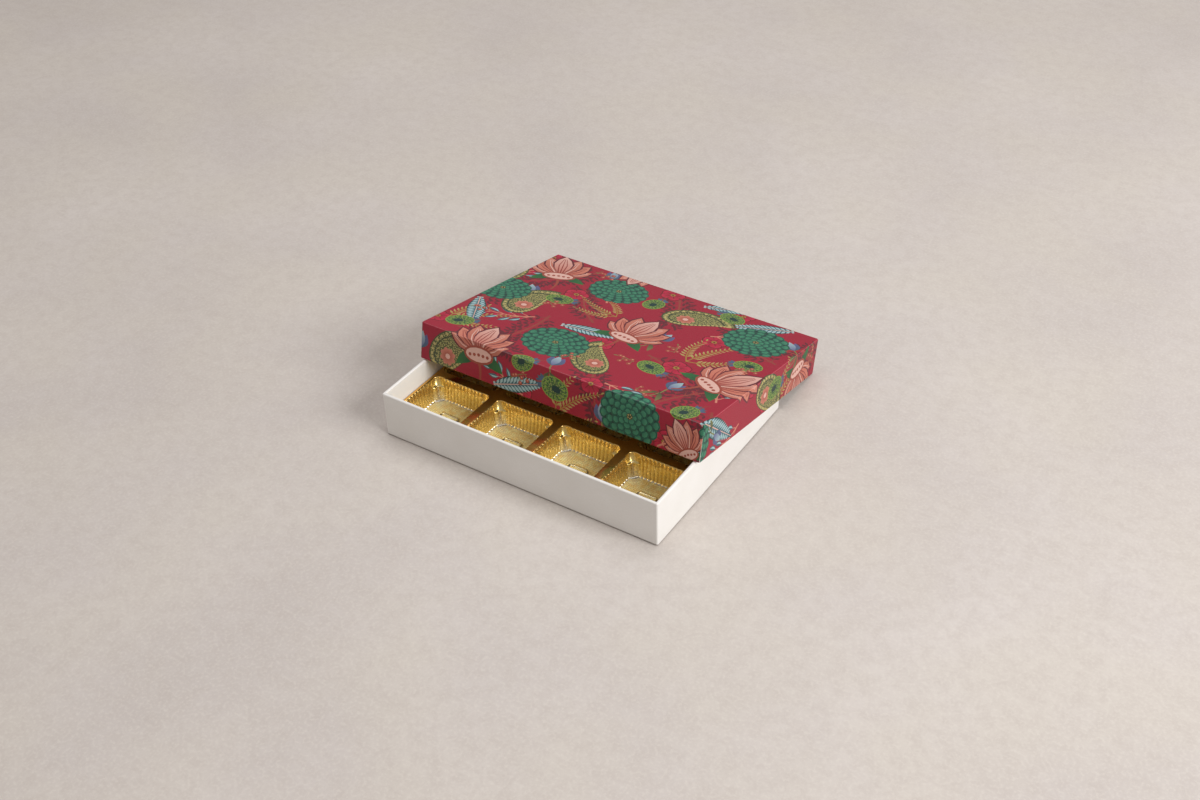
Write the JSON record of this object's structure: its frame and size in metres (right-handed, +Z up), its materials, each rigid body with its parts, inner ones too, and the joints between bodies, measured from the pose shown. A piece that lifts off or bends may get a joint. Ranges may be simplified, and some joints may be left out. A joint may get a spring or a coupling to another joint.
{
  "type": "chocolate box",
  "caption": "Shallow open gift box with a loose gold tray of square fluted cups and a printed lift-off lid, pushed back and leaning on the base.",
  "frame": {"origin": "centre of the base's underside, on the surface it stands on", "axes": "+X along the long side to the right, +Y to the back, towards the pushed-back lid, +Z up"},
  "size_m": [0.2006, 0.1951, 0.0566],
  "materials": {
    "white_paper": "white uncoated wrapping paper",
    "printed_paper": "printed crimson wrapping paper",
    "stay_paper": "kraft paper tape",
    "greyboard": "bare greyboard",
    "gold_plastic": "metallised gold formed sheet"
  },
  "bodies": {
    "base": {"base_board": "greyboard", "base_corner_stay_front_left": "stay_paper", "base_corner_stay_front_right": "stay_paper", "base_corner_stay_back_left": "stay_paper", "base_corner_stay_back_right": "stay_paper", "base_wrap": "white_paper"},
    "tray": {"cavity_tray": "gold_plastic"},
    "lid": {"lid_board": "greyboard", "lid_corner_stay_front_left": "stay_paper", "lid_corner_stay_front_right": "stay_paper", "lid_corner_stay_back_left": "stay_paper", "lid_corner_stay_back_right": "stay_paper", "lid_wrap": "printed_paper"}
  },
  "joints": [
    {"name": "lid_lift", "type": "slide", "parent": "base", "child": "lid", "axis": [0, 0, 1], "range_m": [0, 0.09]},
    {"name": "tray_lift", "type": "slide", "parent": "base", "child": "tray", "axis": [0, 0, 1], "range_m": [0, 0.045]}
  ],
  "couplings": [
    {"joint": "tray_lift", "follows": "lid_lift", "ratio": 0.5}
  ]
}
